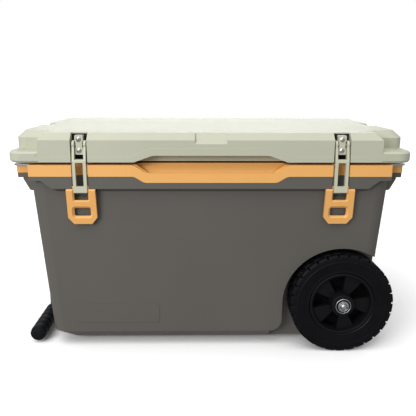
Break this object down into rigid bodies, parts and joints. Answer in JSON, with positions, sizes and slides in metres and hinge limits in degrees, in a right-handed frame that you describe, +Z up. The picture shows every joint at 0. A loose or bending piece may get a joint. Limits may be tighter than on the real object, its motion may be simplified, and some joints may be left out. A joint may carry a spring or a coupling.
{
  "type": "wheeled cooler",
  "caption": "Hard-sided insulated cooler box with a hinged lid, two draw latches, two wheels and a swing-up tow handle.",
  "frame": {"origin": "on the ground under the middle of the object's box", "axes": "+X along the length towards the wheels, +Y from the latches towards the hinges, +Z up"},
  "size_m": [0.74, 0.462, 0.43],
  "materials": {
    "body_grey": "fine moulded texture, satin",
    "rim_orange": "satin moulded plastic",
    "lid_sage": "fine moulded texture, satin",
    "liner_white": "smooth moulded plastic",
    "insulating_foam": null,
    "tyre_rubber": "moulded rubber with cross lugs",
    "wheel_black": "moulded black plastic",
    "grip_rubber": "ribbed soft rubber",
    "soft_rubber": "plain rubber",
    "stainless": "brushed stainless steel",
    "sage_metal": "powder-coated casting"
  },
  "bodies": {
    "tub": {"body_shell": "body_grey", "body_foam": "insulating_foam", "inner_liner": "liner_white", "rim_band": "rim_orange", "lock_plate_left": "stainless", "lock_plate_right": "stainless", "foot_front": "soft_rubber", "foot_rear": "soft_rubber", "axle_sleeve": "wheel_black", "axle": "stainless", "axle_spacer_front": "stainless", "axle_spacer_rear": "stainless", "push_nut_front": "stainless", "push_nut_rear": "stainless", "drain_tube": "liner_white", "handle_bracket_front": "wheel_black", "handle_bracket_rear": "wheel_black", "handle_pin_front": "stainless", "handle_pin_rear": "stainless", "hinge_leaf_left": "stainless", "hinge_leaf_right": "stainless", "hinge_pin_left": "stainless", "hinge_pin_right": "stainless"},
    "lid": {"lid_shell": "lid_sage", "lid_foam": "insulating_foam", "lid_liner": "liner_white", "lid_gasket": "soft_rubber", "hinge_knuckle_left": "stainless", "hinge_knuckle_right": "stainless", "latch_pad_left": "soft_rubber", "latch_bracket_left": "sage_metal", "latch_pivot_left": "stainless", "latch_pad_right": "soft_rubber", "latch_bracket_right": "sage_metal", "latch_pivot_right": "stainless", "latch_screw_left_upper": "stainless", "latch_screw_left_lower": "stainless", "latch_screw_right_upper": "stainless", "latch_screw_right_lower": "stainless"},
    "tow_handle": {"handle_frame": "wheel_black", "grip_front": "grip_rubber", "grip_rear": "grip_rubber", "grip_cap_front": "wheel_black", "grip_cap_rear": "wheel_black"},
    "drain_plug": {"drain_plug": "wheel_black", "drain_seal": "soft_rubber"},
    "latch_link_left": {"latch_link_left": "sage_metal", "link_pin_left": "stainless"},
    "latch_lever_left": {"latch_lever_left": "rim_orange"},
    "latch_link_right": {"latch_link_right": "sage_metal", "link_pin_right": "stainless"},
    "latch_lever_right": {"latch_lever_right": "rim_orange"},
    "wheel_front": {"tyre_front": "tyre_rubber", "wheel_rim_front": "wheel_black", "wheel_bush_front": "liner_white", "hub_ring_front": "stainless"},
    "wheel_rear": {"tyre_rear": "tyre_rubber", "wheel_rim_rear": "wheel_black", "wheel_bush_rear": "liner_white", "hub_ring_rear": "stainless"}
  },
  "joints": [
    {"name": "lid_hinge", "type": "hinge", "parent": "tub", "child": "lid", "pos_m": [0, 0.2197, 0.375], "axis": [-1, 0, 0], "range_deg": [0, 95]},
    {"name": "latch_link_swing_left", "type": "hinge", "parent": "lid", "child": "latch_link_left", "pos_m": [-0.238, -0.2065, 0.409], "axis": [-1, 0, 0], "range_deg": [0, 120]},
    {"name": "latch_lever_turn_left", "type": "hinge", "parent": "latch_link_left", "child": "latch_lever_left", "pos_m": [-0.238, -0.2155, 0.325], "axis": [-1, 0, 0], "range_deg": [0, 110]},
    {"name": "latch_link_swing_right", "type": "hinge", "parent": "lid", "child": "latch_link_right", "pos_m": [0.238, -0.2065, 0.409], "axis": [-1, 0, 0], "range_deg": [0, 120]},
    {"name": "latch_lever_turn_right", "type": "hinge", "parent": "latch_link_right", "child": "latch_lever_right", "pos_m": [0.238, -0.2155, 0.325], "axis": [-1, 0, 0], "range_deg": [0, 110]},
    {"name": "wheel_spin_front", "type": "hinge", "parent": "tub", "child": "wheel_front", "pos_m": [0.256, -0.193, 0.1], "axis": [0, 1, 0], "continuous": true},
    {"name": "wheel_spin_rear", "type": "hinge", "parent": "tub", "child": "wheel_rear", "pos_m": [0.256, 0.193, 0.1], "axis": [0, 1, 0], "continuous": true},
    {"name": "tow_handle_swing", "type": "hinge", "parent": "tub", "child": "tow_handle", "pos_m": [-0.351, 0, 0.3], "axis": [0, 1, 0], "range_deg": [0, 140]},
    {"name": "drain_plug_pull", "type": "slide", "parent": "tub", "child": "drain_plug", "axis": [1, 0, 0], "range_m": [0, 0.04]}
  ]
}
